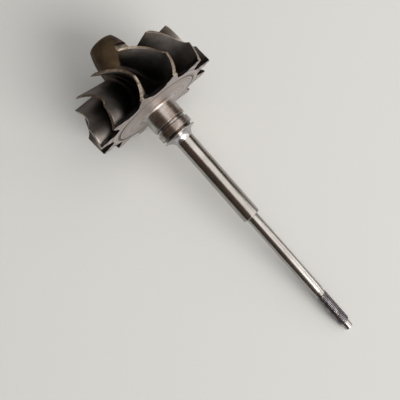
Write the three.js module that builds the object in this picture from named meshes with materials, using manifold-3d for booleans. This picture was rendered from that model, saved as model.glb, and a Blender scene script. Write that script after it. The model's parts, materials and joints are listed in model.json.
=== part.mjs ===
// Turbocharger shaft and wheel: a cast turbine wheel welded to a turned steel shaft.
// It lies on the floor on two neighbouring lobes of its back disc and on the end of its shaft.
// Millimetres, +Z up. The shaft heads towards +X and leans down to its threaded end.
// The origin is on the floor, under the middle of the part's box.
// Inside the rotor group, x runs along the rotor's own axis from the back plane of the disc.

import * as THREE from 'three';
import { mergeVertices } from 'three/addons/utils/BufferGeometryUtils.js';
import Module from 'manifold-3d';

const wasm = await Module();
wasm.setup();

// Gap that parts two neighbouring pieces.
const gap = 0.3;

// Wheel: radii and axial places, with the disc's back plane at 0 and the nose at the negative end.
const wheelRadius = 43;
const exducerRadius = 38;
const inducerWidth = 12.5;
const bladeLength = 29.4;
const bladeCount = 12;
const rimThickness = 1.2;
const hubRadius = 13;
const hubEnd = -30.1;
const noseRadius = 8.7;
const noseEnd = -49.9;

// Control points of the gas path's curves, as [x, radius].
const flareControl = [-3, 22];
const throatControl = [-6, hubRadius + 0.5];
const shroudControl = [-15.5, exducerRadius - 0.6];
const noseControl = [-42, hubRadius - 0.4];

// The flat that was ground on the nose to balance the rotor: its two ends along the axis,
// its distance from the axis, and the angle that it faces, in degrees.
const balanceStart = -41.6;
const balanceEnd = -35.6;
const balanceFlat = 9.45;
const balanceAngle = 40;

// Back disc: lobes under the blades, round scallops between them, and a raised middle.
const lobeHalfWidth = 1.5;
const scallopFloor = 33.2;
const scallopRound = 6;
const plateauRadius = 28.6;
const plateauHeight = 1;

// Blades: angles, in degrees, that the camber line has turned at the corner and at the exducer.
const cornerTurn = -6.6;
const exducerTurn = 18.9;
const leadingRootThickness = 2.6;
const leadingTipThickness = 1.3;
const trailingRootThickness = 1.4;
const trailingTipThickness = 0.7;
const firstBladeAngle = 15;

// Shaft: radii and stations along the axis. The cone's control point is given as
// [run past its rim, rise over the journal]. The thin shaft starts in a seat in the
// journal's end, so that the shoulder round it is a plain ring.
const bossRadius = 11.2;
const bossFillet = 2.4;
const bossEnd = 12.3;
const neckRadius = 10;
const neckEnd = 14.8;
const collarEnd = 21.6;
const ringGrooveStart = 19.2;
const ringGrooveWidth = 1.8;
const ringGrooveRadius = 9.6;
const coneEnd = 26;
const coneRimDrop = 0.5;
const coneControl = [1, 0.4];
const journalRadius = 6;
const journalEnd = 88.4;
const journalChamfer = 0.4;
const stubSeat = 1;
const stubRadius = 4;
const stubEnd = 151;
const threadNeckRadius = 3.55;
const threadNeckEnd = 154;
const threadEnd = 177;
const threadRadius = 4;
const threadChamfer = 0.5;
const pointRadius = 2.8;
const pointEnd = 182.2;
const pointChamfer = 0.4;

// How finely round shapes are divided.
const discSides = 96;
const hubSides = 48;
const shaftSides = 40;
const scallopSteps = 10;
const filletSteps = 4;
const noseSteps = 6;
const coneSteps = 6;
const mergeTolerance = 1e-5;

const castAlloy = { color: 0x3b3532, roughness: 0.55, metalness: 0.85 };
const machinedAlloy = { color: 0x9b918c, roughness: 0.4, metalness: 0.9 };
const groundSteel = { color: 0xb9aea6, roughness: 0.2, metalness: 1 };
const threadSteel = { color: 0x6f6a70, roughness: 0.35, metalness: 1 };

const finish = (look) => new THREE.MeshStandardMaterial(look);

function piece(name, geometry, look) {
  const mesh = new THREE.Mesh(geometry, finish(look));
  mesh.name = name;
  return mesh;
}

// A turned solid from [x, radius] stations, its axis laid along x.
function turned(stations, sides) {
  const first = stations[0];
  const last = stations[stations.length - 1];
  const outline = [[first[0], 0], ...stations, [last[0], 0]];
  const profile = outline.map(([x, radius]) => new THREE.Vector2(radius, x));
  const lathe = new THREE.LatheGeometry(profile, sides);
  lathe.rotateZ(-Math.PI / 2);
  return lathe;
}

function toSolid(geometry) {
  const bare = geometry.clone();
  bare.deleteAttribute('normal');
  bare.deleteAttribute('uv');
  const merged = mergeVertices(bare, mergeTolerance);
  const corners = merged.index.array;
  const triangles = [];
  for (let i = 0; i < corners.length; i += 3) {
    const [a, b, c] = corners.slice(i, i + 3);
    if (a !== b && b !== c && c !== a) {
      triangles.push(a, b, c);
    }
  }
  const vertProperties = new Float32Array(merged.attributes.position.array);
  const triVerts = new Uint32Array(triangles);
  return new wasm.Manifold(new wasm.Mesh({ numProp: 3, vertProperties, triVerts }));
}

function toGeometry(solid) {
  const { vertProperties, triVerts } = solid.getMesh();
  const geometry = new THREE.BufferGeometry();
  geometry.setAttribute('position', new THREE.BufferAttribute(vertProperties, 3));
  geometry.setIndex(new THREE.BufferAttribute(triVerts, 1));
  geometry.computeVertexNormals();
  return geometry;
}

// Gas path, as (x, radius): the front of the disc flares into the hub on one curve,
// and the shroud line runs from the inducer's corner to the exducer's tip.
const hubLine = new THREE.CubicBezierCurve(
  new THREE.Vector2(-rimThickness, wheelRadius),
  new THREE.Vector2(...flareControl),
  new THREE.Vector2(...throatControl),
  new THREE.Vector2(hubEnd, hubRadius),
);
const shroudLine = new THREE.QuadraticBezierCurve(
  new THREE.Vector2(-inducerWidth, wheelRadius),
  new THREE.Vector2(...shroudControl),
  new THREE.Vector2(-bladeLength, exducerRadius),
);
const stationCount = 12;
const splitStation = 6;
const spanCount = 4;

function hubStations(from, to) {
  const stations = [];
  for (let i = to; i >= from; i -= 1) {
    const point = hubLine.getPoint(i / stationCount);
    stations.push([point.x, point.y]);
  }
  return stations;
}

// The camber line turns with depth as a cubic, set by its turns at the corner and the exducer.
const camberCube = (exducerTurn / bladeLength - cornerTurn / inducerWidth)
  / (bladeLength ** 2 - inducerWidth ** 2);
const camberSlope = cornerTurn / inducerWidth - camberCube * inducerWidth ** 2;

function camberAngle(depth) {
  return THREE.MathUtils.degToRad(camberSlope * depth + camberCube * depth ** 3);
}

function camberTwist(depth) {
  return THREE.MathUtils.degToRad(camberSlope + 3 * camberCube * depth ** 2);
}

// A blade's middle surface is made of radial lines. The blade thins towards its tip, and
// towards its trailing edge at the exducer.
function bladeCorner(along, up, side) {
  const tangent = hubLine.getTangent(along);
  const root = hubLine.getPoint(along);
  root.x += gap * tangent.y;
  root.y = Math.min(root.y - gap * tangent.x, wheelRadius);
  const tip = shroudLine.getPoint(along);
  const middle = root.lerp(tip, up);
  const rootThickness = THREE.MathUtils.lerp(leadingRootThickness, trailingRootThickness, along);
  const tipThickness = THREE.MathUtils.lerp(leadingTipThickness, trailingTipThickness, along);
  const thickness = THREE.MathUtils.lerp(rootThickness, tipThickness, Math.sqrt(up));
  const lean = middle.y * camberTwist(-middle.x);
  const aside = side * thickness / 2 * Math.hypot(1, lean);
  const angle = camberAngle(-middle.x);
  return [
    middle.x,
    middle.y * Math.cos(angle) - aside * Math.sin(angle),
    middle.y * Math.sin(angle) + aside * Math.cos(angle),
  ];
}

// The blade's closed skin: a grid of stations and spans on each side, joined round its edge.
function bladeGeometry() {
  const positions = [];
  for (const side of [-1, 1]) {
    for (let i = 0; i <= stationCount; i += 1) {
      for (let j = 0; j <= spanCount; j += 1) {
        positions.push(...bladeCorner(i / stationCount, j / spanCount, side));
      }
    }
  }
  const rows = stationCount + 1;
  const columns = spanCount + 1;
  const left = (i, j) => i * columns + j;
  const right = (i, j) => (rows + i) * columns + j;
  const indices = [];
  const quad = (a, b, c, d) => indices.push(a, c, b, a, d, c);
  for (let i = 0; i < stationCount; i += 1) {
    for (let j = 0; j < spanCount; j += 1) {
      quad(left(i, j), left(i, j + 1), left(i + 1, j + 1), left(i + 1, j));
      quad(right(i, j), right(i + 1, j), right(i + 1, j + 1), right(i, j + 1));
    }
    quad(left(i + 1, 0), right(i + 1, 0), right(i, 0), left(i, 0));
    quad(left(i, spanCount), right(i, spanCount), right(i + 1, spanCount), left(i + 1, spanCount));
  }
  for (let j = 0; j < spanCount; j += 1) {
    quad(left(0, j), right(0, j), right(0, j + 1), left(0, j + 1));
    quad(left(stationCount, j), left(stationCount, j + 1),
      right(stationCount, j + 1), right(stationCount, j));
  }
  const geometry = new THREE.BufferGeometry();
  geometry.setAttribute('position', new THREE.Float32BufferAttribute(positions, 3));
  geometry.setIndex(indices);
  geometry.computeVertexNormals();
  return geometry;
}

// What one scallop takes out of the disc: a round floor, and flanks that leave a thin lobe
// on either side. Drawn with the scallop's middle along the first axis, and run on past the rim.
const mouthReach = 1.3;
const lobeTipAngle = Math.PI / bladeCount - Math.asin(lobeHalfWidth / wheelRadius);

function scallopCutter() {
  const lobeCorner = new THREE.Vector2(Math.cos(lobeTipAngle), Math.sin(lobeTipAngle))
    .multiplyScalar(wheelRadius);
  const centre = new THREE.Vector2(scallopFloor + scallopRound, 0);
  const reach = lobeCorner.clone().sub(centre);
  const touchAngle = reach.angle() + Math.acos(scallopRound / reach.length());
  const touch = new THREE.Vector2(Math.cos(touchAngle), Math.sin(touchAngle))
    .multiplyScalar(scallopRound)
    .add(centre);
  const mouth = touch.clone().lerp(lobeCorner, mouthReach);
  const outline = new THREE.Shape();
  outline.absarc(centre.x, 0, scallopRound, touchAngle, 2 * Math.PI - touchAngle, false);
  outline.lineTo(mouth.x, -mouth.y);
  outline.lineTo(mouth.x, mouth.y);
  outline.closePath();
  const depth = 2 * inducerWidth;
  const run = { depth, bevelEnabled: false, curveSegments: scallopSteps };
  const cutter = new THREE.ExtrudeGeometry(outline, run);
  cutter.translate(0, 0, -depth / 2);
  const alongRotor = new THREE.Vector3(1, 0, 0);
  const outward = new THREE.Vector3(0, 1, 0);
  const around = new THREE.Vector3(0, 0, 1);
  cutter.applyMatrix4(new THREE.Matrix4().makeBasis(outward, around, alongRotor));
  return cutter;
}

function backDisc() {
  let disc = toSolid(turned([
    ...hubStations(0, splitStation),
    [0, wheelRadius],
    [0, plateauRadius],
    [plateauHeight, plateauRadius],
  ], discSides));
  for (let i = 0; i < bladeCount; i += 1) {
    const scallop = scallopCutter();
    scallop.rotateX(THREE.MathUtils.degToRad(firstBladeAngle) + (2 * i + 1) * Math.PI / bladeCount);
    disc = disc.subtract(toSolid(scallop));
  }
  return toGeometry(disc);
}

function wheelHub() {
  const stations = hubStations(splitStation, stationCount);
  const [x, radius] = stations.pop();
  return turned([...stations, [x - gap, radius - gap]], hubSides);
}

function hubNose() {
  const outline = new THREE.QuadraticBezierCurve(
    new THREE.Vector2(noseEnd, noseRadius),
    new THREE.Vector2(...noseControl),
    new THREE.Vector2(hubEnd - gap, hubRadius),
  );
  const nose = turned(outline.getPoints(noseSteps).map((point) => [point.x, point.y]), hubSides);
  const cut = new THREE.BoxGeometry(balanceEnd - balanceStart, hubRadius, 2 * hubRadius);
  cut.translate((balanceStart + balanceEnd) / 2, balanceFlat + hubRadius / 2, 0);
  cut.rotateX(THREE.MathUtils.degToRad(balanceAngle));
  return toGeometry(toSolid(nose).subtract(toSolid(cut)));
}

// The boss leaves the disc in a hollow fillet.
function weldBoss() {
  const start = plateauHeight + gap;
  const fillet = new THREE.EllipseCurve(
    start + bossFillet, bossRadius + bossFillet, bossFillet, bossFillet, Math.PI, 1.5 * Math.PI, false);
  const stations = fillet.getPoints(filletSteps).map((point) => [point.x, point.y]);
  return turned([...stations, [bossEnd, bossRadius]], hubSides);
}

function reliefNeck() {
  return turned([[bossEnd + gap, neckRadius], [neckEnd, neckRadius]], hubSides);
}

function ringCollar() {
  const grooveEnd = ringGrooveStart + ringGrooveWidth;
  return turned([
    [neckEnd + gap, bossRadius],
    [ringGrooveStart, bossRadius],
    [ringGrooveStart, ringGrooveRadius],
    [grooveEnd, ringGrooveRadius],
    [grooveEnd, bossRadius],
    [collarEnd, bossRadius],
  ], hubSides);
}

// The cone is hollow-sided, from the collar's rim down to the journal.
function shoulderCone() {
  const start = collarEnd + gap;
  const [controlRun, controlRise] = coneControl;
  const hollow = new THREE.QuadraticBezierCurve(
    new THREE.Vector2(start, bossRadius - coneRimDrop),
    new THREE.Vector2(start + controlRun, journalRadius + controlRise),
    new THREE.Vector2(coneEnd, journalRadius),
  );
  return turned(hollow.getPoints(coneSteps).map((point) => [point.x, point.y]), shaftSides);
}

function bearingJournal() {
  return turned([
    [coneEnd + gap, journalRadius],
    [journalEnd - journalChamfer, journalRadius],
    [journalEnd, journalRadius - journalChamfer],
    [journalEnd, stubRadius + gap],
    [journalEnd - stubSeat, stubRadius + gap],
  ], shaftSides);
}

function compressorStub() {
  return turned([[journalEnd - stubSeat + gap, stubRadius], [stubEnd, stubRadius]], shaftSides);
}

function threadNeck() {
  return turned([[stubEnd + gap, threadNeckRadius], [threadNeckEnd, threadNeckRadius]], shaftSides);
}

function nutThread() {
  const start = threadNeckEnd + gap;
  return turned([
    [start, threadRadius - threadChamfer],
    [start + threadChamfer, threadRadius],
    [threadEnd - threadChamfer, threadRadius],
    [threadEnd, threadRadius - threadChamfer],
  ], shaftSides);
}

function shaftPoint() {
  return turned([
    [threadEnd + gap, pointRadius],
    [pointEnd - pointChamfer, pointRadius],
    [pointEnd, pointRadius - pointChamfer],
  ], shaftSides);
}

const rotor = new THREE.Group();
rotor.add(piece('hub_nose', hubNose(), castAlloy));
rotor.add(piece('wheel_hub', wheelHub(), castAlloy));
rotor.add(piece('back_disc', backDisc(), machinedAlloy));
rotor.add(piece('weld_boss', weldBoss(), groundSteel));
rotor.add(piece('relief_neck', reliefNeck(), groundSteel));
rotor.add(piece('ring_collar', ringCollar(), groundSteel));
rotor.add(piece('shoulder_cone', shoulderCone(), groundSteel));
rotor.add(piece('bearing_journal', bearingJournal(), groundSteel));
rotor.add(piece('compressor_stub', compressorStub(), groundSteel));
rotor.add(piece('thread_neck', threadNeck(), groundSteel));
rotor.add(piece('nut_thread', nutThread(), threadSteel));
rotor.add(piece('shaft_point', shaftPoint(), groundSteel));

for (let i = 0; i < bladeCount; i += 1) {
  const name = `blade_${String(i + 1).padStart(2, '0')}`;
  const blade = piece(name, bladeGeometry(), castAlloy);
  blade.rotation.x = THREE.MathUtils.degToRad(firstBladeAngle) + 2 * i * Math.PI / bladeCount;
  rotor.add(blade);
}

// At rest the corners of the two lowest lobes and the end of the shaft touch the floor.
const lobeDepth = wheelRadius * Math.cos(lobeTipAngle);
rotor.rotation.y = Math.atan2(lobeDepth - pointRadius, pointEnd - pointChamfer);
rotor.updateMatrixWorld(true);
const box = new THREE.Box3().setFromObject(rotor, true);
const middle = box.getCenter(new THREE.Vector3());
rotor.position.set(-middle.x, -middle.y, -box.min.z);

export default rotor;
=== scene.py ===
"""Turbocharger shaft and wheel: a cast turbine wheel on a ground and threaded steel shaft."""
import json
import math

import bpy
from mathutils import Euler, Matrix, Vector


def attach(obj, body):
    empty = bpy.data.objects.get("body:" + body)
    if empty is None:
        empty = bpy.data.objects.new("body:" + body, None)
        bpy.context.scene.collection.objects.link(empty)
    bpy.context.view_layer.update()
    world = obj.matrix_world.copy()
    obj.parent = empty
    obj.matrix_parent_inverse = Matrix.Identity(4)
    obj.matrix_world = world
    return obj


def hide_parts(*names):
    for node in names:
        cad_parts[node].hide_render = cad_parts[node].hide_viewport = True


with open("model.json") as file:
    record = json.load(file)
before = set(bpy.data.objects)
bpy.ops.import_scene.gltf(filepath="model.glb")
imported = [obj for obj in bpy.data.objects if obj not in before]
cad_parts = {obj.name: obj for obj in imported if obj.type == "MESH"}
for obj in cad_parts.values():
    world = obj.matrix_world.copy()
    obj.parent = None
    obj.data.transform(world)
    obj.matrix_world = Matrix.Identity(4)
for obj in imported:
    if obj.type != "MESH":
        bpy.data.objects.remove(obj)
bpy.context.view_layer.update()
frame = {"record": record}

# The rotor lies with its axis leaning down from the wheel to the threaded end of the shaft.
# Its pieces are drawn in millimetres along that axis: x runs from the back plane of the disc,
# with the nose on the negative side, and y is level. The scene itself is in metres.
mm = 0.001
mounts = {mount["name"]: mount for mount in frame["record"]["mounts"]}
nose_reach = 49.9
axis = Vector(mounts["point_face"]["axis"])
across = Vector((0, 1, 0))
disc_centre = Vector(mounts["nose_face"]["pos_m"]) + axis * nose_reach / 1000
turn = Matrix((axis, across, axis.cross(across))).transposed()
rotor = Matrix.LocRotScale(disc_centre, turn, Vector((mm, mm, mm)))


# The camera looks down on the rotor from the photograph's place, with the photograph's lens.
# The lens is shifted a little, as for a picture that is cut from a larger one. The camera's
# place and tilt are on the rotor's own axes, in millimetres and degrees.
def new_object(name, data):
    """A new object in the scene, from its camera, lamp or mesh."""
    made = bpy.data.objects.new(name, data)
    bpy.context.scene.collection.objects.link(made)
    return made


camera_place = Vector((45.37, -53.35, 271.4))
camera_tilt = Euler(map(math.radians, (5.363, -10.644, 47.915)))
camera = new_object("Camera", bpy.data.cameras.new("Camera"))
camera.location = rotor @ camera_place
camera.rotation_euler = (turn @ camera_tilt.to_matrix()).to_euler()
camera.data.sensor_width = 36
camera.data.lens = 40.43
camera.data.shift_x = -0.06
camera.data.shift_y = -0.05
camera.data.clip_start = 0.01
bpy.context.scene.camera = camera


# The stage is a round sheet of plain matt board, with the rotor's soft shadow on it. Its edge
# curves up into a wall of the same board all round, which closes the low views. The wall is
# evenly lit from behind, and nothing mirrors it.
def srgb(code):
    """The linear colour of a hex value such as 0x8090a0."""
    channels = [(code >> shift & 255) / 255 for shift in (16, 8, 0)]
    linear = [c / 12.92 if c <= 0.04045 else ((c + 0.055) / 1.055) ** 2.4 for c in channels]
    return (*linear, 1)


def new_finish(name):
    """A new material with its node tree and its main shader."""
    finish = bpy.data.materials.new(name)
    finish.use_nodes = True
    return finish, finish.node_tree, finish.node_tree.nodes["Principled BSDF"]


# Matt board: a pale, even grey with next to no gloss.
board_finish, tree, shader = new_finish("pale matt board")
shader.inputs["Base Color"].default_value = srgb(0xBAB9B6)
shader.inputs["Roughness"].default_value = 0.8
shader.inputs["Specular IOR Level"].default_value = 0.05

# The same board, lit from behind: it glows evenly and takes no shadow.
wall_finish, tree, shader = new_finish("pale board lit from behind")
shader.inputs["Base Color"].default_value = srgb(0x000000)
shader.inputs["Emission Color"].default_value = srgb(0xD9D8D4)
shader.inputs["Emission Strength"].default_value = 1
shader.inputs["Specular IOR Level"].default_value = 0


def stage_sheet(name, profile, finish, closed):
    """A round sheet of the stage, from its profile's (radius, height) points in metres."""
    sides = 96
    points, faces = [], [tuple(range(sides))] if closed else []
    for radius, height in profile:
        for j in range(sides):
            angle = 2 * math.pi * j / sides
            points.append((radius * math.cos(angle), radius * math.sin(angle), height))
    for i in range(len(profile) - 1):
        for j in range(sides):
            k = (j + 1) % sides
            faces.append((i * sides + j, (i + 1) * sides + j, (i + 1) * sides + k, i * sides + k))
    mesh = bpy.data.meshes.new(name)
    mesh.from_pydata(points, [], faces)
    mesh.materials.append(finish)
    mesh.shade_smooth()
    sheet = new_object(name, mesh)
    return sheet


floor_middle = 0.4
floor_reach = 3
stage_sheet("floor", [(floor_middle, 0), (floor_reach, 0)], board_finish, True)

wall_bend = 0.5
wall_lift = 0.002
wall_height = 2.4
bend_steps = 8
wall_profile = []
for i in range(bend_steps + 1):
    bend = math.pi / 2 * i / bend_steps
    wall_profile.append((floor_reach - wall_bend + wall_bend * math.sin(bend),
                         wall_bend - wall_bend * math.cos(bend) + wall_lift))
wall_profile.append((floor_reach, wall_height))
wall = stage_sheet("curved_wall", wall_profile, wall_finish, False)
wall.visible_glossy = False
wall.visible_diffuse = False
wall.visible_shadow = False


# A low card of dull black paper stands beside the shaft. Only the metal sees it, as a dark line
# along the shaft's near side.
card_finish, tree, shader = new_finish("black matt card")
shader.inputs["Base Color"].default_value = srgb(0x2A2420)
shader.inputs["Roughness"].default_value = 0.9

card_start, card_stop = -0.35, 0.5
card_side = -0.2
card_height = 0.1
card_mesh = bpy.data.meshes.new("black_card")
card_mesh.from_pydata([
    (card_start, card_side, 0),
    (card_stop, card_side, 0),
    (card_stop, card_side, card_height),
    (card_start, card_side, card_height),
], [], [(0, 1, 2, 3)])
card_mesh.materials.append(card_finish)
card = new_object("black_card", card_mesh)
card.visible_camera = False
card.visible_diffuse = False
card.visible_shadow = False


# Soft studio light: one large panel overhead, leaning to the far side, and one upright behind
# the shaft's thin end. The polished shaft mirrors them as its long pale stripe, and the dim
# warm room as its dark bands. Two wide lamps light the floor and the casting: one evenly, and
# one from the shaft's end, over the disc and through its scallops.
def panel(name, place, target, size, watts):
    """A soft rectangular light panel that faces its target, in metres."""
    lamp = bpy.data.lights.new(name, "AREA")
    lamp.shape = "RECTANGLE"
    lamp.size, lamp.size_y = size
    lamp.energy = watts
    lamp.color = srgb(0xFFFDFB)[:3]
    made = new_object(name, lamp)
    made.location = place
    made.rotation_euler = (Vector(target) - Vector(place)).to_track_quat("-Z", "Y").to_euler()
    made.visible_camera = False


def floor_lamp(name, heading, spread, strength):
    """A wide soft far-off lamp, heading one way, with its spread in degrees."""
    lamp = bpy.data.lights.new(name, "SUN")
    lamp.angle = math.radians(spread)
    lamp.energy = strength
    lamp.color = srgb(0xFDFCFA)[:3]
    made = new_object(name, lamp)
    made.rotation_euler = Vector(heading).to_track_quat("-Z", "Y").to_euler()
    return made


panel("key_panel", place=(0.4, 0.3, 0.834), target=(0.4, 0.083, 0.064), size=(1.2, 1.04), watts=6.5)
panel("upright_panel", place=(0.96, 1.15, 0.5), target=(0.96, 0, 0.5), size=(1.08, 0.6), watts=5.5)
even_lamp = floor_lamp("even_lamp", heading=(0, 0, -1), spread=175, strength=0.95)
even_lamp.visible_glossy = False
floor_lamp("side_lamp", heading=(-0.9, -0.06, -0.43), spread=42, strength=4.5)

room = bpy.data.worlds.new("dim room")
bpy.context.scene.world = room
room.use_nodes = True
room.node_tree.nodes["Background"].inputs["Color"].default_value = srgb(0x735D4A)
room.node_tree.nodes["Background"].inputs["Strength"].default_value = 0.6
room.cycles_visibility.diffuse = False
bpy.context.scene.view_settings.view_transform = "Standard"


# The wheel is one investment casting of nickel alloy. This is its solid hub: a flared body
# between the blades, and a blunt nose with one flat ground off it to balance the rotor.
def add(tree, kind, links=None, ramp=None, **settings):
    """Adds a node. Each link gives an input a value, a socket or the first output of a node.
    A ramp gives the two ends of a colour ramp, each as its position and its hex value."""
    made = tree.nodes.new(kind)
    for key, value in settings.items():
        setattr(made, key, value)
    for i, (position, code) in enumerate((ramp or {}).items()):
        made.color_ramp.elements[i].position = position
        made.color_ramp.elements[i].color = srgb(code)
    for key, value in (links or {}).items():
        if isinstance(value, bpy.types.Node):
            value = value.outputs[0]
        if isinstance(value, bpy.types.NodeSocket):
            tree.links.new(value, made.inputs[key])
        else:
            made.inputs[key].default_value = value
    return made


# A Mix node takes its two numbers at inputs 2 and 3 and its two colours at 6 and 7, and gives
# the mixed colour at output 2.
first_number, second_number = 2, 3
first_colour, second_colour = 6, 7
mixed_colour = 2

# Places are in metres, so a pattern with so many marks to the millimetre has a scale of that
# many times this.
per_mm = 1000


def rotor_places(tree):
    """The place on the rotor, in metres along its own axis, whatever way it lies."""
    here = add(tree, "ShaderNodeTexCoord").outputs["Object"]
    undo = add(tree, "ShaderNodeMapping", {"Vector": here}, vector_type="TEXTURE")
    undo.inputs["Location"].default_value = disc_centre
    undo.inputs["Rotation"].default_value = turn.to_euler()
    return undo.outputs["Vector"]


# Investment-cast nickel alloy: a dark, dull oxide skin, partly metal and partly scale, mottled
# over about 6 mm, with the fine grain of the ceramic mould. The grain is about 0.3 mm, drawn
# at 0.6 mm to show.
cast_alloy, tree, shader = new_finish("as-cast nickel alloy")
places = rotor_places(tree)
mottle = add(tree, "ShaderNodeTexNoise", {"Vector": places, "Scale": 0.16 * per_mm, "Detail": 4.0})
skin = add(tree, "ShaderNodeValToRGB", {"Fac": mottle}, ramp={0.35: 0x635D59, 0.68: 0x7C756F})

# Heat has browned the nose, in patches of about 14 mm.
split = add(tree, "ShaderNodeSeparateXYZ", {0: places})
heat = add(tree, "ShaderNodeMapRange", {
    "Value": split.outputs["X"], "From Min": -25 * mm, "From Max": -31 * mm})
scorch = add(tree, "ShaderNodeTexNoise", {"Vector": places, "Scale": 0.07 * per_mm, "Detail": 3.0})
brown = add(tree, "ShaderNodeValToRGB", {"Fac": scorch}, ramp={0.38: 0x3A3026, 0.62: 0x62523F})
browned = add(tree, "ShaderNodeMix", {"Factor": heat, first_colour: skin, second_colour: brown},
              data_type="RGBA")

# Painted shade: the colour goes almost black where the blades shelter it, on their half towards the
# disc and along their feet.
shelter = add(tree, "ShaderNodeAmbientOcclusion", {"Distance": 22 * mm}, samples=8)
unsheltered = add(tree, "ShaderNodeMapRange", {
    "Value": shelter.outputs["AO"], "From Min": 0.28, "From Max": 0.62, "To Min": 0.03})
towards_nose = add(tree, "ShaderNodeMapRange", {
    "Value": split.outputs["X"], "From Min": -12 * mm, "From Max": -22 * mm, "To Min": 0.34})
off_the_foot = add(tree, "ShaderNodeMapRange", {
    "Value": split.outputs["X"], "From Min": -1.6 * mm, "From Max": -3.6 * mm, "To Min": 0.05})

# Painted light: the painted shade is lifted off one side of the upper blades, by the disc's rim, where
# light comes in through the scallops.
cross = add(tree, "ShaderNodeCombineXYZ", {"Y": split.outputs["Y"], "Z": split.outputs["Z"]})
radius_out = add(tree, "ShaderNodeVectorMath", {0: cross}, operation="LENGTH").outputs["Value"]
towards_rim = add(tree, "ShaderNodeMapRange", {
    "Value": radius_out, "From Min": 27 * mm, "From Max": 36 * mm},
    interpolation_type="SMOOTHSTEP")
towards_disc = add(tree, "ShaderNodeMapRange", {
    "Value": split.outputs["X"], "From Min": -12.5 * mm, "From Max": -4 * mm},
    interpolation_type="SMOOTHSTEP")
upper_half = add(tree, "ShaderNodeMapRange", {
    "Value": split.outputs["Z"], "From Min": -4 * mm, "From Max": 6 * mm})
lit_through_scallops = add(tree, "ShaderNodeAttribute", attribute_name="scallop_lit_side").outputs["Fac"]
for share in (towards_rim, towards_disc, upper_half):
    lit_through_scallops = add(tree, "ShaderNodeMath", {0: lit_through_scallops, 1: share}, operation="MULTIPLY")
unshaded_places = add(tree, "ShaderNodeMath", {0: towards_nose, 1: lit_through_scallops}, operation="MAXIMUM")
unshaded_places = add(tree, "ShaderNodeMath", {0: unshaded_places, 1: off_the_foot}, operation="MULTIPLY")
unshaded = add(tree, "ShaderNodeMath", {0: unsheltered, 1: unshaded_places}, operation="MULTIPLY")
# The almost black 0x0B0A09 is painted shade, not a colour of the metal.
blade_shade_mix = add(tree, "ShaderNodeMix", {
    "Factor": unshaded, first_colour: srgb(0x0B0A09), second_colour: browned.outputs[mixed_colour]},
    data_type="RGBA")
tree.links.new(blade_shade_mix.outputs[mixed_colour], shader.inputs["Base Color"])
shader.inputs["Metallic"].default_value = 0.5
shader.inputs["Specular IOR Level"].default_value = 0.3
shader.inputs["Specular Tint"].default_value = srgb(0x808080)
dullness = add(tree, "ShaderNodeMapRange", {"Value": mottle, "To Min": 0.32, "To Max": 0.46})
tree.links.new(dullness.outputs["Result"], shader.inputs["Roughness"])
grain = add(tree, "ShaderNodeTexNoise", {"Vector": places, "Scale": 1.7 * per_mm, "Detail": 2.0})
pitting = add(tree, "ShaderNodeBump", {"Height": grain, "Strength": 0.35, "Distance": 0.06 * mm})
tree.links.new(pitting.outputs["Normal"], shader.inputs["Normal"])


# The hub between the blades, the flare and the walls of the scallops are almost black and dull, with
# blotches of about 3 mm: a black oxide, darkened further as painted shade for these sheltered faces.
oxide_and_shade, tree, shader = new_finish("black oxide and painted shade on cast alloy")
blotches = add(tree, "ShaderNodeTexNoise", {
    "Vector": rotor_places(tree), "Scale": 0.3 * per_mm, "Detail": 3.0})
tone = add(tree, "ShaderNodeValToRGB", {"Fac": blotches}, ramp={0.35: 0x070606, 0.7: 0x141210})
tree.links.new(tone.outputs["Color"], shader.inputs["Base Color"])
shader.inputs["Roughness"].default_value = 0.7
shader.inputs["Specular IOR Level"].default_value = 0.02


# Ground nickel alloy: where a wheel or a flat has cut through the skin, pale warm metal with
# fine parallel scratches about 0.2 mm apart, drawn at 0.5 mm to show, and eight times as long.
ground_alloy, tree, shader = new_finish("ground nickel alloy")
scratch_stretch = (2.0, 0.25, 0.25)
stretched = add(tree, "ShaderNodeVectorMath", {0: rotor_places(tree), 1: scratch_stretch},
                operation="MULTIPLY")
scratches = add(tree, "ShaderNodeTexNoise", {"Vector": stretched, "Scale": 1.0 * per_mm, "Detail": 2.0})
tone = add(tree, "ShaderNodeValToRGB", {"Fac": scratches}, ramp={0.36: 0x82776A, 0.64: 0xBBAE9D})
tree.links.new(tone.outputs["Color"], shader.inputs["Base Color"])
shader.inputs["Metallic"].default_value = 1
shader.inputs["Roughness"].default_value = 0.42
ridges = add(tree, "ShaderNodeBump", {"Height": scratches, "Strength": 0.3, "Distance": 0.04 * mm})
tree.links.new(ridges.outputs["Normal"], shader.inputs["Normal"])


def bezier(points, t):
    """The point at t on the Bezier curve with these control points."""
    while len(points) > 1:
        points = [a.lerp(b, t) for a, b in zip(points, points[1:])]
    return points[0]


def rounded(corners):
    """The points of an outline of (x, radius, rounding) corners, with an arc at each rounding."""
    points = []
    for i, (x, radius, rounding) in enumerate(corners):
        corner = Vector((x, radius))
        if not rounding:
            points.append(corner)
            continue
        before = (Vector(corners[i - 1][:2]) - corner).normalized()
        after = (Vector(corners[i + 1][:2]) - corner).normalized()
        half = before.angle(after) / 2
        start = corner + before * rounding / math.tan(half)
        middle = corner + (before + after).normalized() * rounding / math.sin(half)
        sweep = (start - middle).angle_signed(corner + after * rounding / math.tan(half) - middle)
        steps = max(2, math.ceil(abs(sweep) / math.radians(20)))
        for k in range(steps + 1):
            spoke = (start - middle).copy()
            spoke.rotate(Matrix.Rotation(-sweep * k / steps, 2))
            points.append(middle + spoke)
    return points


def to_mesh(name, points, faces, finishes, zones=None):
    """A smooth closed mesh object from points in the rotor's millimetres."""
    mesh = bpy.data.meshes.new(name)
    mesh.from_pydata([rotor @ Vector(point) for point in points], [], faces)
    for finish in finishes:
        mesh.materials.append(finish)
    if zones:
        mesh.polygons.foreach_set("material_index", zones)
    mesh.shade_smooth()
    mesh.set_sharp_from_angle(angle=math.radians(32))
    return new_object(name, mesh)


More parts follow.
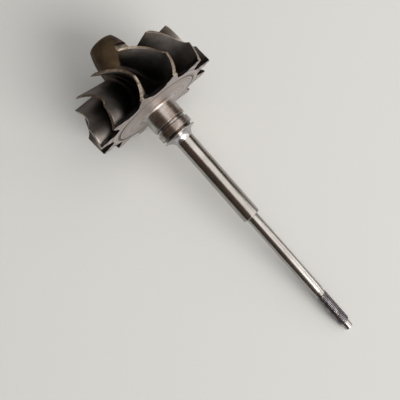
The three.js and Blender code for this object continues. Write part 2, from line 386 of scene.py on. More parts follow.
def rings_to_faces(rings, columns):
    """Quads between rings of points, after a first and before a last point on the axis."""
    faces = [(0, 1 + (j + 1) % columns, 1 + j) for j in range(columns)]
    for i in range(rings - 1):
        low, high = 1 + i * columns, 1 + (i + 1) * columns
        for j in range(columns):
            k = (j + 1) % columns
            faces.append((low + j, low + k, high + k, high + j))
    last, ring = 1 + rings * columns, 1 + (rings - 1) * columns
    faces += [(ring + j, ring + (j + 1) % columns, last) for j in range(columns)]
    return faces


def turned(profile, columns):
    """Points and faces of a turned solid from its (x, radius) profile, closed on the axis."""
    points = [(profile[0][0], 0, 0)]
    for x, radius in profile:
        for j in range(columns):
            angle = 2 * math.pi * j / columns
            points.append((x, radius * math.cos(angle), radius * math.sin(angle)))
    points.append((profile[-1][0], 0, 0))
    return points, rings_to_faces(len(profile), columns)


wheel_radius = 43
rim_thickness = 1.2
flare_control = (-3, 22)
throat_control = (-6, 13.5)
hub_end = (-30.1, 13)
hub_line = [Vector(point) for point in (
    (-rim_thickness, wheel_radius), flare_control, throat_control, hub_end)]

# Hub and disc meet half way along the hub line, under the blades.
seam = 0.5
hub_steps = 30
hub_profile = [bezier(hub_line, 1 - (1 - seam) * i / hub_steps) for i in range(hub_steps + 1)]

nose_end = (-nose_reach, 8.7)
nose_control = (-42, 12.6)
nose_line = [Vector(point) for point in (nose_end, nose_control, hub_end)]
nose_rounding = 0.9
rounding_reach = 0.12
nose_steps = 44
nose_profile = rounded([
    (nose_end[0], 0, 0),
    (*nose_end, nose_rounding),
    (*bezier(nose_line, rounding_reach), 0),
])[1:-1]
for i in range(nose_steps):
    nose_profile.append(bezier(nose_line, rounding_reach + (1 - rounding_reach) * i / nose_steps))

balance_start, balance_end = -41.6, -35.6
balance_flat = 9.45
balance_angle = math.radians(40)
step_run = 0.03


def with_steps(profile, places):
    """The profile with two close rings at each of the places, where a cut has its walls."""
    result = list(profile)
    for place in places:
        i = next(i for i, point in enumerate(result) if point.x > place)
        share = (place - result[i - 1].x) / (result[i].x - result[i - 1].x)
        ring = result[i - 1].lerp(result[i], share)
        aside = Vector((step_run / 2, 0))
        result[i:i] = [ring - aside, ring + aside]
    return result


hub_columns = 160
profile = with_steps(nose_profile + hub_profile, (balance_start, balance_end))
points, faces = turned(profile, hub_columns)
facing = Vector((0, math.cos(balance_angle), math.sin(balance_angle)))
ground = set()
for i, point in enumerate(points):
    point = Vector(point)
    above = point.dot(facing) - balance_flat
    if balance_start < point.x < balance_end and above > 0:
        points[i] = point - above * facing
        ground.add(i)

# Past here the hub takes the almost black finish, oxide and painted shade.
oxide_and_shade_start = hub_end[0] + 3
zones = []
for face in faces:
    if all(i in ground for i in face):
        zones.append(1)
    else:
        zones.append(2 if points[face[0]][0] > oxide_and_shade_start else 0)
hub = to_mesh("hub_casting", points, faces, [cast_alloy, ground_alloy, oxide_and_shade], zones)
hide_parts("hub_nose", "wheel_hub")
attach(hub, "root")


# The back disc belongs to the same casting. Its front is the gas path's flare, its rim is cut
# into lobes by round scallops, and its back is turned, with a raised middle that slopes off
# to a low step.
blade_count = 12
first_blade = math.radians(15)
pitch = 2 * math.pi / blade_count
lobe_half_width = 1.5
scallop_floor = 33.2
scallop_round = 6
scallop_steps = 9
plateau_radius = 28.6
plateau_height = 1
slope_start = 19.5
slope_rounding = 9
step_height = 0.3
step_half_run = 0.2
step_rounding = 0.15
flat_radii = (17, 15, 13)


def lobe_outline():
    """One lobe and the scallop after it, in the disc's plane, from the middle of the lobe's tip."""
    tip = math.asin(lobe_half_width / wheel_radius)
    corner = Vector((math.cos(tip), math.sin(tip))) * wheel_radius
    centre = Vector((math.cos(pitch / 2), math.sin(pitch / 2))) * (scallop_floor + scallop_round)
    reach = corner - centre
    away = math.atan2(reach.y, reach.x) - math.acos(scallop_round / reach.length)
    touch = centre + Vector((math.cos(away), math.sin(away))) * scallop_round
    points = [Vector((math.cos(a), math.sin(a))) * wheel_radius for a in (0, tip * 0.4, tip * 0.75)]
    points += [corner.lerp(touch, s) for s in (0.02, 0.06, 0.2, 0.4, 0.6, 0.8)]
    inward = pitch / 2 + math.pi
    sweep = (inward - away) % (2 * math.pi) - 2 * math.pi
    arc = [away + sweep * i / scallop_steps for i in range(scallop_steps + 1)]
    points += [centre + Vector((math.cos(a), math.sin(a))) * scallop_round for a in arc]
    mirrored = []
    for point in points[-2:0:-1]:
        angle = pitch - math.atan2(point.y, point.x)
        mirrored.append(Vector((math.cos(angle), math.sin(angle))) * point.length)
    return points + mirrored


one_lobe = lobe_outline()
outline = []
for i in range(blade_count):
    spin = Matrix.Rotation(first_blade + i * pitch, 2)
    outline += [spin @ point for point in one_lobe]
columns = len(outline)


def offset(inset):
    """The disc's outline, moved into the metal by the inset."""
    moved = []
    for j, point in enumerate(outline):
        before = (point - outline[j - 1]).normalized()
        after = (outline[(j + 1) % columns] - point).normalized()
        along = (before + after).normalized()
        inward = Vector((-along.y, along.x))
        moved.append(point + inward * inset / max(0.5, along.dot(after)))
    return moved


def hub_share(radius):
    """How far along the hub line, from the rim, it comes down to a radius."""
    low, high = 0.0, 1.0
    for _ in range(40):
        middle = (low + high) / 2
        low, high = (middle, high) if bezier(hub_line, middle).y > radius else (low, middle)
    return low


def ring_at(x, radius):
    """A round ring of the disc, with one point for each point of the outline."""
    ring = []
    for point in outline:
        flat = point.normalized() * radius
        ring.append((x, flat.x, flat.y))
    return ring


def fan(inner_radius, rim, share, height):
    """A ring part of the way from a circle to the rim. Its height follows from the radius."""
    ring = []
    for start, end in zip(outline, rim):
        radius = inner_radius + (end.length - inner_radius) * share
        flat = start.normalized().lerp(end.normalized(), share).normalized() * radius
        ring.append((height(radius), flat.x, flat.y))
    return ring


flare_heights = {}


def flare_height(radius):
    """The place of the flare's surface at a radius."""
    key = round(radius, 4)
    if key not in flare_heights:
        flare_heights[key] = bezier(hub_line, hub_share(radius)).x
    return flare_heights[key]


# The front: the flare from the seam outwards, then its way out into the lobes.
front_edge = 0.35
fan_start = 28.9
fan_steps = 9
flare_steps = 14
front_rim = offset(front_edge)
seam_share = hub_share(bezier(hub_line, seam).y)
fan_share = hub_share(fan_start)
rings = []
for i in range(flare_steps + 1):
    x, radius = bezier(hub_line, seam_share + (fan_share - seam_share) * i / flare_steps)
    rings.append(ring_at(x, radius))
for i in range(1, fan_steps + 1):
    rings.append(fan(fan_start, front_rim, i / fan_steps, flare_height))

# The rim: a rounded front edge, a straight wall and a smaller rounded back edge.
front_ring = rings[-1]
for sweep in (30, 60, 90):
    inset = front_edge * (1 - math.sin(math.radians(sweep)))
    drop = front_edge * (1 - math.cos(math.radians(sweep)))
    rim = offset(inset)
    rings.append([(point[0] + drop, flat.x, flat.y) for point, flat in zip(front_ring, rim)])
back_edge = 0.2
wall_top = rings[-1]
wall_rings = len(rings)
for share in (0.25, 0.5, 0.75, 1):
    rings.append([(x + (-back_edge - x) * share, y, z) for x, y, z in wall_top])
for sweep in (45, 90):
    inset = back_edge * (1 - math.cos(math.radians(sweep)))
    rim = offset(inset)
    x = -back_edge * (1 - math.sin(math.radians(sweep)))
    rings.append([(x, flat.x, flat.y) for flat in rim])
edge_rings = 2

# The back: the flat of the lobes, the low step, the slope and the flat middle.
back_start = len(rings)
back_rim = offset(back_edge)
for share in (0.97, 0.8, 0.6, 0.4, 0.2, 0):
    rings.append(fan(plateau_radius + 3 * step_half_run, back_rim, share, lambda radius: 0))
step_profile = rounded([
    (0, plateau_radius + 5 * step_half_run, 0),
    (0, plateau_radius + step_half_run, step_rounding),
    (step_height, plateau_radius - step_half_run, step_rounding),
    (plateau_height, slope_start, slope_rounding),
    (plateau_height, flat_radii[1], 0),
])[1:-1]
for x, radius in step_profile:
    rings.append(ring_at(x, radius))
for radius in flat_radii:
    rings.append(ring_at(plateau_height, radius))

points = [(rings[0][0][0], 0, 0)]
for ring in rings:
    points += ring
points.append((plateau_height, 0, 0))
faces = rings_to_faces(len(rings), columns)


# Turned nickel alloy: the lathe's fine rings round the axis, 0.15 to 0.3 mm apart, drawn at
# about 0.8 mm to show, over pale mauve-grey metal with broader bands of about 2.4 mm.
turned_alloy, tree, shader = new_finish("turned nickel alloy")
split = add(tree, "ShaderNodeSeparateXYZ", {0: rotor_places(tree)})
square = []
for side in "YZ":
    square.append(add(tree, "ShaderNodeMath", {0: split.outputs[side], 1: 2.0}, operation="POWER"))
total = add(tree, "ShaderNodeMath", {0: square[0], 1: square[1]}, operation="ADD")
radius_out = add(tree, "ShaderNodeMath", {0: total, 1: 0.5}, operation="POWER")
tool_rings = add(tree, "ShaderNodeTexNoise", {
    "W": radius_out, "Scale": 1.25 * per_mm, "Detail": 3.0, "Roughness": 0.7},
    noise_dimensions="1D")
bands = add(tree, "ShaderNodeTexNoise", {"W": radius_out, "Scale": 0.42 * per_mm, "Detail": 2.0},
            noise_dimensions="1D")
mixed = add(tree, "ShaderNodeMix", {"Factor": 0.35, first_number: tool_rings, second_number: bands})
tone = add(tree, "ShaderNodeValToRGB", {"Fac": mixed}, ramp={0.38: 0x635A57, 0.62: 0xADA49F})

# Painted shade: a dark line is painted in the corner of the step, on the half that lies low, where the
# step lies in shade.
low_shift = 2 * mm
lowered = add(tree, "ShaderNodeMath", {0: split.outputs["Z"], 1: low_shift})
off_centre = add(tree, "ShaderNodeCombineXYZ", {"Y": split.outputs["Y"], "Z": lowered})
spread = add(tree, "ShaderNodeVectorMath", {0: off_centre}, operation="LENGTH").outputs["Value"]
low_step_shade = add(tree, "ShaderNodeMapRange", {
    "Value": spread, "From Min": 30.8 * mm, "From Max": 29.4 * mm, "To Max": 0.9},
    interpolation_type="SMOOTHSTEP")
past_step = add(tree, "ShaderNodeMath", {
    0: radius_out, 1: (plateau_radius - step_half_run) * mm}, operation="GREATER_THAN")
painted_step_shade = add(tree, "ShaderNodeMath", {0: low_step_shade, 1: past_step}, operation="MULTIPLY")
# The dark 0x1E1A18 is the painted shade.
painted_shade_mix = add(tree, "ShaderNodeMix", {
    "Factor": painted_step_shade, first_colour: tone, second_colour: srgb(0x1E1A18)}, data_type="RGBA")
tree.links.new(painted_shade_mix.outputs[mixed_colour], shader.inputs["Base Color"])
shader.inputs["Metallic"].default_value = 0.75
shader.inputs["Roughness"].default_value = 0.48
ridges = add(tree, "ShaderNodeBump", {"Height": tool_rings, "Strength": 0.5, "Distance": 0.08 * mm})
tree.links.new(ridges.outputs["Normal"], shader.inputs["Normal"])

tip_margin = 0.05
tip_columns = [j for j in range(columns) if outline[j].length > wheel_radius - tip_margin]
# The front and the scallop walls take the almost black finish, oxide and painted shade.
zones = []
for face in faces:
    ring, column = divmod(face[0] - 1, columns)
    if ring >= back_start - edge_rings:
        zones.append(1)
    elif ring >= wall_rings - 1 and column in tip_columns and (column + 1) % columns in tip_columns:
        zones.append(2)
    else:
        zones.append(0)
disc = to_mesh("back_disc_casting", points, faces, [oxide_and_shade, turned_alloy, ground_alloy], zones)
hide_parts("back_disc")
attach(disc, "root")


# Twelve blades, cast with the disc, one on each lobe. Each is thin and twisted, with a hollow
# fillet at its foot. Its front and shroud edges are ground to size, its trailing edge is as cast.
inducer_width = 12.5
exducer_radius = 38
blade_length = 29.4
shroud_control = (-15.5, exducer_radius - 0.6)
shroud_line = [Vector(point) for point in (
    (-inducer_width, wheel_radius), shroud_control, (-blade_length, exducer_radius))]

# The blade turns about the axis by this many degrees at its front corner and at its exducer,
# on a cubic curve.
corner_turn, exducer_turn = -6.6, 18.9
turn_change = exducer_turn / blade_length - corner_turn / inducer_width
camber_cube = turn_change / (blade_length ** 2 - inducer_width ** 2)
camber_slope = corner_turn / inducer_width - camber_cube * inducer_width ** 2

# Thickness at the foot and at the shroud.
leading_thickness = (2.2, 1.6)
trailing_thickness = (1.6, 1.3)
thinning = 0.7
foot_fillet = 1.7
least_fillet = 0.15
fillet_steps = 5
foot_sink = 0.5
land_edge = 0.12
span_steps = 13


def lobe_room(radius):
    """Half the lobe's width at a radius, measured round the rotor."""
    for start, end in zip(one_lobe, one_lobe[1:]):
        if end.y > 0 and start.length >= radius >= end.length:
            drop = start.length - end.length
            share = (start.length - radius) / drop if drop > 0 else 0
            return start.lerp(end, share).y
    return 3 * foot_fillet


def blade_section(along, narrow):
    """A closed section of the blade at one station, from its left foot over the shroud edge."""
    root, tip = bezier(hub_line, along), bezier(shroud_line, along)
    span = (tip - root).length
    upright = (tip - root) / span
    room = lobe_room(min(root.y, wheel_radius - 0.01)) - leading_thickness[0] / 2 - 0.02
    fillet = min(foot_fillet, max(least_fillet, room))
    quarter = [math.radians(90 * i / fillet_steps) for i in range(fillet_steps + 1)]
    heights = [-foot_sink] + [fillet * (1 - math.cos(a)) for a in quarter]
    straight = span - land_edge - fillet
    heights += [fillet + straight * i / span_steps for i in range(1, span_steps + 1)] + [span]
    left, right = [], []
    for height in heights:
        up = max(0, height) / span
        middle = root + upright * height
        thick = leading_thickness[0] + (trailing_thickness[0] - leading_thickness[0]) * along
        thin = leading_thickness[1] + (trailing_thickness[1] - leading_thickness[1]) * along
        half = (thick + (thin - thick) * up ** thinning) / 2
        if height < fillet:
            rise = fillet - max(0, height)
            half += fillet - math.sqrt(fillet ** 2 - rise ** 2)
        half = half * narrow - (land_edge if height == span else 0) * narrow
        depth = -middle.x
        angle = math.radians(camber_slope * depth + camber_cube * depth ** 3)
        # At the rim, the foot stays on the middle of its lobe.
        settle = (1 - along) ** 6 * max(0, 1 - 3 * up) ** 2
        angle -= settle * math.radians(camber_slope * rim_thickness)
        lean = middle.y * math.radians(camber_slope + 3 * camber_cube * depth ** 2)
        for side, row in ((-1, left), (1, right)):
            aside = side * half * math.hypot(1, lean)
            row.append((
                middle.x,
                middle.y * math.cos(angle) - aside * math.sin(angle),
                middle.y * math.sin(angle) + aside * math.cos(angle),
            ))
    return left + right[::-1]


# Each station is how far along the blade it lies, and what share of the full thickness it has:
# a small bevel at the front, the whole blade, and a rounded trailing edge.
bevel_end = 0.004
trailing_run = 0.025
body_end = 1 - trailing_run
body_steps = 40
stations = [(0, 1 - 2 * land_edge / leading_thickness[1]), (bevel_end, 1)]
for i in range(1, body_steps + 1):
    stations.append((bevel_end + (body_end - bevel_end) * i / body_steps, 1))
for share in (0.35, 0.65, 0.85, 0.96):
    stations.append((body_end + trailing_run * share, math.sqrt(1 - share ** 2)))
stations.append((1, 0.12))
sections = [blade_section(along, narrow) for along, narrow in stations]

loop = len(sections[0])
points = [point for section in sections for point in section]
faces, lands = [], []
for i in range(len(sections) - 1):
    for j in range(loop):
        k = (j + 1) % loop
        faces.append((i * loop + j, (i + 1) * loop + j, (i + 1) * loop + k, i * loop + k))
        lands.append(j == loop // 2 - 1)
last = (len(sections) - 1) * loop
for j in range(loop // 2 - 1):
    k = loop - 1 - j
    faces.append((j, j + 1, k - 1, k))
    lands.append(True)
    faces.append((last + j, last + k, last + k - 1, last + j + 1))
    lands.append(False)
# One side of each blade is marked, for the painted light on the upper blades by the disc's rim.
scallop_lit_side = [float(j % loop < loop // 2) for j in range(len(points))]
blade_mesh = bpy.data.meshes.new("blade")
blade_mesh.from_pydata(points, [], faces)
blade_mesh.attributes.new("ground_land", "BOOLEAN", "FACE").data.foreach_set("value", lands)
blade_mesh.attributes.new("scallop_lit_side", "FLOAT", "POINT").data.foreach_set("value", scallop_lit_side)
blade_mesh.shade_smooth()
one_blade = new_object("one_blade", blade_mesh)


def new_geometry_tree(name, sizes):
    """A geometry tree with a mesh going in and out and one named input for each size."""
    tree = bpy.data.node_groups.new(name, "GeometryNodeTree")
    tree.interface.new_socket("Geometry", in_out="INPUT", socket_type="NodeSocketGeometry")
    tree.interface.new_socket("Geometry", in_out="OUTPUT", socket_type="NodeSocketGeometry")
    for key, value in sizes.items():
        kind = "NodeSocketInt" if isinstance(value, int) else "NodeSocketFloat"
        tree.interface.new_socket(key, in_out="INPUT", socket_type=kind)
    return tree, add(tree, "NodeGroupInput"), add(tree, "NodeGroupOutput")


def run_geometry(source, tree, sizes, name):
    """The plain mesh object that a tree makes of a source object, in the rotor's place."""
    modifier = source.modifiers.new(name, "NODES")
    modifier.node_group = tree
    for item in tree.interface.items_tree:
        if item.name in sizes and item.in_out == "INPUT":
            modifier[item.identifier] = sizes[item.name]
    bpy.context.view_layer.update()
    graph = bpy.context.evaluated_depsgraph_get()
    mesh = bpy.data.meshes.new_from_object(source.evaluated_get(graph))
    source.modifiers.remove(modifier)
    bpy.data.objects.remove(source)
    mesh.transform(rotor)
    mesh.name = name
    return new_object(name, mesh)


ring_sizes = {"Blades": blade_count, "First angle": first_blade, "Pitch angle": pitch}
tree, given, result = new_geometry_tree("blade ring", ring_sizes)
spots = add(tree, "GeometryNodePoints", {"Count": given.outputs["Blades"]})
number = add(tree, "GeometryNodeInputIndex")
swing = add(tree, "ShaderNodeMath", {
    0: number, 1: given.outputs["Pitch angle"], 2: given.outputs["First angle"]},
    operation="MULTIPLY_ADD")
swing_vector = add(tree, "ShaderNodeCombineXYZ", {"X": swing})
copies = add(tree, "GeometryNodeInstanceOnPoints", {
    "Points": spots, "Instance": given.outputs["Geometry"], "Rotation": swing_vector})
real = add(tree, "GeometryNodeRealizeInstances", {0: copies})
dressed = add(tree, "GeometryNodeSetMaterial", {"Geometry": real, "Material": cast_alloy})
flag = add(tree, "GeometryNodeInputNamedAttribute", {"Name": "ground_land"}, data_type="BOOLEAN")
landed = add(tree, "GeometryNodeSetMaterial", {
    "Geometry": dressed, "Selection": flag, "Material": ground_alloy})
tree.links.new(landed.outputs[0], result.inputs[0])
blades = run_geometry(one_blade, tree, ring_sizes, "turbine_blades")
blades.data.set_sharp_from_angle(angle=math.radians(40))
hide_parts(*[f"blade_{i + 1:02d}" for i in range(blade_count)])
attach(blades, "root")


# The shaft is one bar of alloy steel, friction welded to the wheel. It is made here length by
# length, and each reaches a little into the next. The first is the weld boss: a short turned
# drum, with a hollow fillet where it meets the disc.
def shaft_piece(name, node, corners, finish):
    """One turned length of the shaft, from its outline's (x, radius, rounding) corners."""
    shaft_columns = 128
    profile = [tuple(point) for point in rounded(corners)]
    points, faces = turned(profile, shaft_columns)
    made = to_mesh(name, points, faces, [finish])
    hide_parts(node)
    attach(made, "root")
    return made


# Turned steel: duller and browner than the ground lengths, with the feed lines of the tool
# round it, about 0.2 mm apart, drawn at 0.5 mm to show, and faint brown heat stains.
turned_steel, tree, shader = new_finish("turned steel")
places = rotor_places(tree)
along_axis = add(tree, "ShaderNodeSeparateXYZ", {0: places}).outputs["X"]
lines = add(tree, "ShaderNodeTexNoise", {
    "W": along_axis, "Scale": 2.0 * per_mm, "Detail": 3.0, "Roughness": 0.8},
    noise_dimensions="1D")
stains = add(tree, "ShaderNodeTexNoise", {"Vector": places, "Scale": 0.13 * per_mm, "Detail": 4.0})
mixed = add(tree, "ShaderNodeMix", {"Factor": 0.45, first_number: stains, second_number: lines})
tone = add(tree, "ShaderNodeValToRGB", {"Fac": mixed}, ramp={0.4: 0x7D6F66, 0.6: 0xB5B3B1})

# Painted shade: the colour darkens in the grooves and corners, where shade falls, but not at the foot
# of the boss. The foot is a little duller.
shelter = add(tree, "ShaderNodeAmbientOcclusion", {"Distance": 1.6 * mm}, samples=8)
open_share = add(tree, "ShaderNodeMapRange", {
    "Value": shelter.outputs["AO"], "From Min": 0.6, "From Max": 0.88, "To Min": 0.04})
before_neck = add(tree, "ShaderNodeMath", {0: along_axis, 1: 8 * mm}, operation="LESS_THAN")
unshaded = add(tree, "ShaderNodeMath", {0: open_share, 1: before_neck}, operation="MAXIMUM")
# The dark 0x1E1814 is painted shade in the grooves and corners.
painted_shade_mix = add(tree, "ShaderNodeMix", {
    "Factor": unshaded, first_colour: srgb(0x1E1814), second_colour: tone}, data_type="RGBA")
tree.links.new(painted_shade_mix.outputs[mixed_colour], shader.inputs["Base Color"])
shader.inputs["Metallic"].default_value = 1
haze = add(tree, "ShaderNodeMapRange", {"Value": lines, "To Min": 0.24, "To Max": 0.34})
fillet_foot = add(tree, "ShaderNodeMapRange", {
    "Value": along_axis, "From Min": 3 * mm, "From Max": 1.2 * mm, "To Max": 0.3})
dulled = add(tree, "ShaderNodeMath", {0: haze, 1: fillet_foot})
tree.links.new(dulled.outputs[0], shader.inputs["Roughness"])
ridges = add(tree, "ShaderNodeBump", {"Height": lines, "Strength": 0.1, "Distance": 0.04 * mm})
tree.links.new(ridges.outputs["Normal"], shader.inputs["Normal"])

seat = 0.1
face_radius = 8
boss_radius = 11.2
boss_fillet = 2.4
boss_end = 12.3
fillet_lap = 0.3
fillet_dip = 0.02
weld_profile = [(plateau_height - fillet_dip, boss_radius + boss_fillet + fillet_lap, 0),
                (plateau_height, boss_radius + boss_fillet, 0)]
for sweep in range(10, 91, 10):
    weld_profile.append((
        plateau_height + boss_fillet * (1 - math.cos(math.radians(sweep))),
        boss_radius + boss_fillet * (1 - math.sin(math.radians(sweep))), 0))
weld_profile += [(boss_end, boss_radius, 0.3), (boss_end, face_radius, 0)]
shaft_piece("weld_boss_turned", "weld_boss", weld_profile, turned_steel)


# The relief neck is the narrow groove between boss and collar. It is turned into the same bar, 1.2 mm
# deep, and painted shade darkens it.
neck_radius = 10
neck_end = 14.8
shaft_piece("relief_neck_turned", "relief_neck", [
    (boss_end - seat, neck_radius, 0),
    (neck_end + seat, neck_radius, 0),
], turned_steel)


# The ring collar is a short drum as thick as the boss, turned from the same bar. Its square
# groove is for the seal ring, and is empty here.
collar_end = 21.6
groove_start, groove_end, groove_radius = 19.2, 21.0, 9.6
shaft_piece("ring_collar_ground", "ring_collar", [
    (neck_end, face_radius, 0),
    (neck_end, boss_radius, 0.25),
    (groove_start, boss_radius, 0.12),
    (groove_start, groove_radius, 0.1),
    (groove_end, groove_radius, 0.1),
    (groove_end, boss_radius, 0.12),
    (collar_end, boss_radius, 0.2),
    (collar_end, face_radius, 0),
], turned_steel)


# The shoulder cone leads from the collar down to the journal in one hollow curve. It is turned
# from the same bar and finished with fine abrasive.
# Satin steel: a cool grey, even and without lines, which blurs the light to one bright spot.
satin_steel, tree, shader = new_finish("satin ground steel")
cloudy = add(tree, "ShaderNodeTexNoise", {
    "Vector": rotor_places(tree), "Scale": 0.5 * per_mm, "Detail": 3.0})
tone = add(tree, "ShaderNodeValToRGB", {"Fac": cloudy}, ramp={0.35: 0x9C9B9B, 0.65: 0xBAB9BA})
tree.links.new(tone.outputs["Color"], shader.inputs["Base Color"])
shader.inputs["Metallic"].default_value = 1
shader.inputs["Roughness"].default_value = 0.28

journal_radius = 6
cone_rim = boss_radius - 0.5
cone_control = (collar_end + 1.3, journal_radius + 0.4)
cone_end = 26
cone_steps = 24
cone_line = [Vector(point) for point in (
    (collar_end, cone_rim), cone_control, (cone_end, journal_radius))]
cone_corners = [(collar_end - seat, cone_rim - seat, 0)]
cone_corners += [(*bezier(cone_line, i / cone_steps), 0) for i in range(cone_steps + 1)]
cone_corners.append((cone_end + seat, journal_radius - seat / 2, 0))
shaft_piece("shoulder_cone_turned", "shoulder_cone", cone_corners, satin_steel)


# The bearing journal is the thick length that runs in the bearings. It is ground and polished
# between centres, and ends in a shoulder with a small chamfer.
# Ground and polished steel: bright and warm, with grinding lines round it, far finer than a
# picture shows, so they are drawn 0.4 mm apart, along the axis only.
polished_steel, tree, shader = new_finish("ground and polished steel")
places = rotor_places(tree)
along_axis = add(tree, "ShaderNodeSeparateXYZ", {0: places}).outputs["X"]
lines = add(tree, "ShaderNodeTexNoise", {
    "W": along_axis, "Scale": 2.5 * per_mm, "Detail": 3.0, "Roughness": 0.7},
    noise_dimensions="1D")
patches = add(tree, "ShaderNodeTexNoise", {"Vector": places, "Scale": 0.09 * per_mm, "Detail": 3.0})
tone = add(tree, "ShaderNodeValToRGB", {"Fac": patches}, ramp={0.3: 0x989591, 0.7: 0xACA9A5})
tree.links.new(tone.outputs["Color"], shader.inputs["Base Color"])
shader.inputs["Metallic"].default_value = 1
haze = add(tree, "ShaderNodeMapRange", {"Value": lines, "To Min": 0.16, "To Max": 0.3})
tree.links.new(haze.outputs["Result"], shader.inputs["Roughness"])
ridges = add(tree, "ShaderNodeBump", {"Height": lines, "Strength": 0.12, "Distance": 0.03 * mm})
tree.links.new(ridges.outputs["Normal"], shader.inputs["Normal"])

journal_end = 88.4
shaft_chamfer = 0.4
shaft_piece("bearing_journal_ground", "bearing_journal", [
    (cone_end, journal_radius - 0.3, 0),
    (cone_end, journal_radius, 0.15),
    (journal_end - shaft_chamfer, journal_radius, 0.1),
    (journal_end, journal_radius - shaft_chamfer, 0.1),
    (journal_end, journal_radius / 2, 0),
], polished_steel)


# The compressor stub is the long thin length that carries the compressor wheel. It is ground
# and polished like the journal, and starts just inside the journal's end.
stub_radius = 4
stub_end = 151
shaft_piece("compressor_stub_ground", "compressor_stub", [
    (journal_end - 2 * seat, stub_radius, 0),
    (stub_end, stub_radius, 0.25),
    (stub_end, 3, 0),
], polished_steel)


# The thread neck is a short undercut turned before the thread, about as deep as the thread's
# roots. The shaft point is the plain pin past the thread, with a chamfer at its end.
thread_neck_radius = 3.55
thread_neck_end = 154
shaft_piece("thread_neck_turned", "thread_neck", [
    (stub_end - seat, thread_neck_radius, 0),
    (thread_neck_end + seat, thread_neck_radius, 0),
], polished_steel)

thread_end = 177
point_radius = 2.8
point_end = 182.2
shaft_piece("shaft_point_turned", "shaft_point", [
    (thread_end - seat, point_radius, 0),
    (point_end - shaft_chamfer, point_radius, 0.1),
    (point_end, point_radius - shaft_chamfer, 0.1),
    (point_end, 0.5, 0),
], polished_steel)


# The thread for the compressor nut is rolled into the end of the bar, so its crests are round.
# Its rows follow the helix, and both ends run out in a chamfer.
# Rolled steel: smooth dark flanks in a cool grey, and painted shade in the roots.
rolled_steel, tree, shader = new_finish("rolled dark steel thread")
shader.inputs["Metallic"].default_value = 1
shader.inputs["Roughness"].default_value = 0.3
stains = add(tree, "ShaderNodeTexNoise", {
    "Vector": rotor_places(tree), "Scale": 0.4 * per_mm, "Detail": 3.0})
tone = add(tree, "ShaderNodeValToRGB", {"Fac": stains}, ramp={0.35: 0x807C80, 0.7: 0xB6B1B6})
shelter = add(tree, "ShaderNodeAmbientOcclusion", {"Distance": 0.8 * mm}, samples=8)
open_share = add(tree, "ShaderNodeMapRange", {
    "Value": shelter.outputs["AO"], "From Min": 0.5, "From Max": 0.92})
# The dark 0x131114 is painted shade in the roots, where the thread shelters itself.
root_shade_mix = add(tree, "ShaderNodeMix", {
    "Factor": open_share, first_colour: srgb(0x131114), second_colour: tone}, data_type="RGBA")
tree.links.new(root_shade_mix.outputs[mixed_colour], shader.inputs["Base Color"])

thread_sizes = {
    "Start": float(thread_neck_end), "End": float(thread_end), "Pitch": 1.0, "Crest radius": 4.0,
    "Depth": 0.6, "End radius": 3.4, "Rows a turn": 8, "Columns": 64}
tree, given, result = new_geometry_tree("helical thread", thread_sizes)

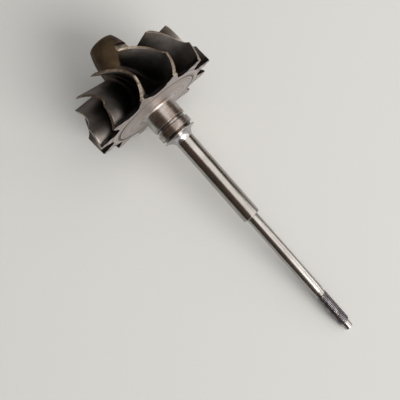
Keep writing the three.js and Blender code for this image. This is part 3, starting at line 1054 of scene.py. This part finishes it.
# A flat grid, one unit wide and high, is wound into the thread by this list of sums. Each has
# its name, its operation and what it works on: a size, an earlier sum or a number. Each row of
# the grid goes once round along the helix, and the rows past either end close on the axis. The
# nudge keeps a row that starts a turn from being rounded down into the turn before.
helix_sums = [
    ("length", "SUBTRACT", "End", "Start"),
    ("turns", "DIVIDE", "length", "Pitch"),
    ("whole turns", "CEIL", "turns"),
    ("turns with spare", "ADD", "whole turns", 5.0),
    ("rows", "MULTIPLY", "turns with spare", "Rows a turn"),
    ("points across", "ADD", "Columns", 1.0),
    ("points up", "ADD", "rows", 1.0),
    ("round share", "ADD", "grid x", 0.5),
    ("up share", "ADD", "grid y", 0.5),
    ("row height", "MULTIPLY", "up share", "rows"),
    ("row", "ROUND", "row height"),
    ("row turns", "DIVIDE", "row", "Rows a turn"),
    ("climb", "ADD", "row turns", "round share"),
    ("helix turns", "SUBTRACT", "climb", 3.0),
    ("free x", "MULTIPLY_ADD", "helix turns", "Pitch", "Start"),
    ("started x", "MAXIMUM", "free x", "Start"),
    ("x", "MINIMUM", "started x", "End"),
    ("nudged turns", "ADD", "row turns", 0.001),
    ("phase", "FRACT", "nudged turns"),
    ("double phase", "MULTIPLY", "phase", 2.0),
    ("slant", "SUBTRACT", "double phase", 1.0),
    ("flank", "ABSOLUTE", "slant"),
    ("flat crest", "MAXIMUM", "flank", 0.12),
    ("eased", "SMOOTH_MIN", "flat crest", 0.88, 0.1),
    ("sink", "MULTIPLY", "eased", "Depth"),
    ("flank radius", "SUBTRACT", "Crest radius", "sink"),
    ("from the start", "SUBTRACT", "x", "Start"),
    ("to the end", "SUBTRACT", "End", "x"),
    ("inside", "MINIMUM", "from the start", "to the end"),
    ("chamfer", "ADD", "End radius", "inside"),
    ("cut radius", "MINIMUM", "flank radius", "chamfer"),
    ("before the start", "SUBTRACT", "Start", "free x"),
    ("after the end", "SUBTRACT", "free x", "End"),
    ("outside", "MAXIMUM", "before the start", "after the end"),
    ("run out", "MULTIPLY", "Pitch", 0.9),
    ("open", "LESS_THAN", "outside", "run out"),
    ("radius", "MULTIPLY", "cut radius", "open"),
    ("angle", "MULTIPLY", "round share", 2 * math.pi),
    ("cosine", "COSINE", "angle"),
    ("sine", "SINE", "angle"),
    ("y", "MULTIPLY", "radius", "cosine"),
    ("z", "MULTIPLY", "radius", "sine"),
]
spot = add(tree, "ShaderNodeSeparateXYZ", {0: add(tree, "GeometryNodeInputPosition")})
known = {key: given.outputs[key] for key in thread_sizes}
known.update({"grid x": spot.outputs["X"], "grid y": spot.outputs["Y"]})
for name, operation, *terms in helix_sums:
    links = {i: known.get(term, term) for i, term in enumerate(terms)}
    known[name] = add(tree, "ShaderNodeMath", links, operation=operation)
grid = add(tree, "GeometryNodeMeshGrid", {
    "Size X": 1.0, "Size Y": 1.0,
    "Vertices X": known["points across"], "Vertices Y": known["points up"]})
place = add(tree, "ShaderNodeCombineXYZ", {"X": known["x"], "Y": known["y"], "Z": known["z"]})
wound = add(tree, "GeometryNodeSetPosition", {"Geometry": grid, "Position": place})
welded = add(tree, "GeometryNodeMergeByDistance", {"Geometry": wound, "Distance": 0.002})
smooth = add(tree, "GeometryNodeSetShadeSmooth", {0: welded})
real = add(tree, "GeometryNodeRealizeInstances", {0: smooth})
dressed = add(tree, "GeometryNodeSetMaterial", {"Geometry": real, "Material": rolled_steel})
tree.links.new(dressed.outputs[0], result.inputs[0])
blank = new_object("thread_blank", bpy.data.meshes.new("thread_blank"))
thread = run_geometry(blank, tree, thread_sizes, "nut_thread_rolled")
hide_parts("nut_thread")
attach(thread, "root")
